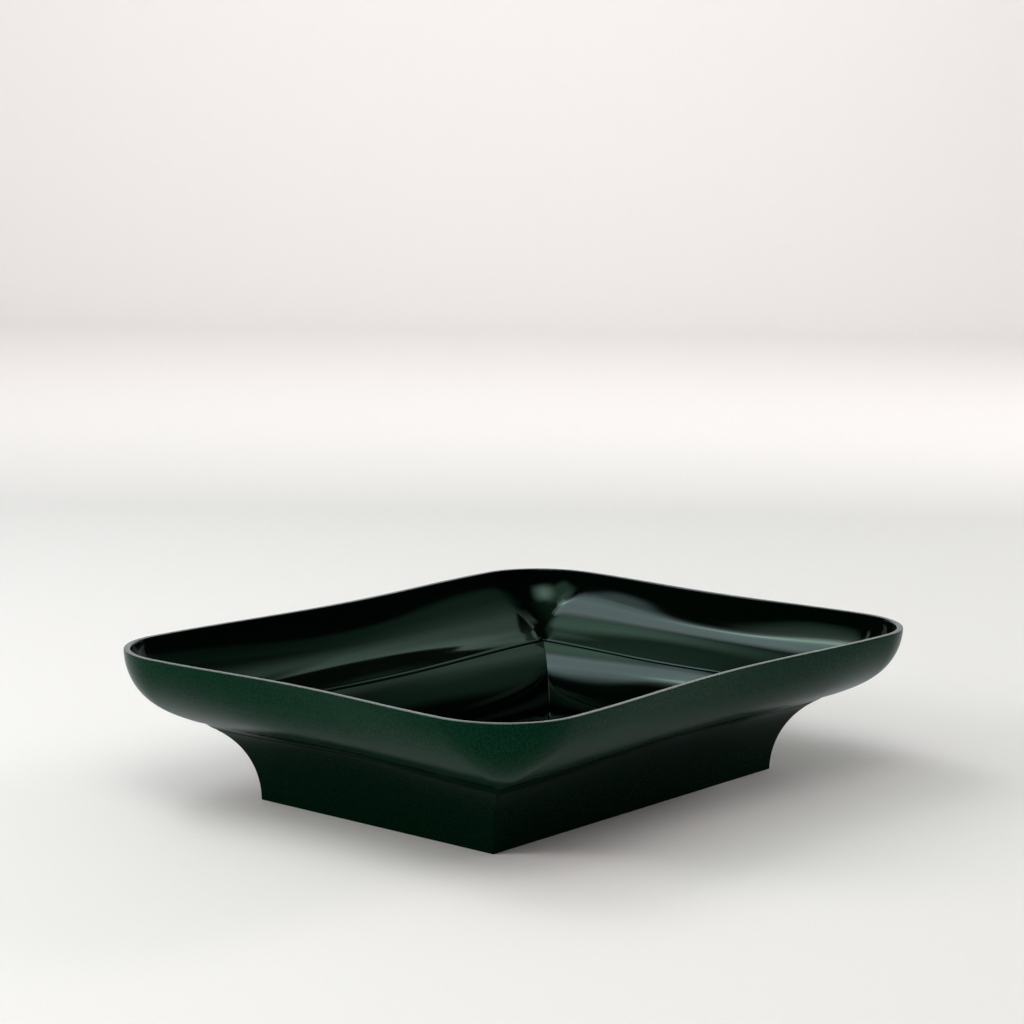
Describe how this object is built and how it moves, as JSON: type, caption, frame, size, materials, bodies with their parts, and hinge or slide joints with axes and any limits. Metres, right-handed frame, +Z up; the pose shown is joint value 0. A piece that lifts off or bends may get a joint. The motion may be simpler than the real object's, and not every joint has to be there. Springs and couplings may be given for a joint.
{
  "type": "flower tray",
  "caption": "Shallow flower tray: a pinched, round-cornered rectangular dish bonded on a flared hollow foot that holds a sunken well.",
  "frame": {"origin": "centre of the foot's standing face, on the surface that the tray stands on", "axes": "+X along the tray's length, +Y across its width, +Z up to the rim"},
  "size_m": [0.306, 0.238, 0.068],
  "materials": {
    "dish_plastic": "high gloss inside, fine satin grain outside, pale trimmed edge",
    "foot_plastic": "high gloss inside, fine satin grain outside",
    "sealant": "matt cured sealant, hidden in the lap joint"
  },
  "bodies": {
    "root": {"foot": "foot_plastic", "joint_seal": "sealant", "dish": "dish_plastic"}
  },
  "joints": []
}
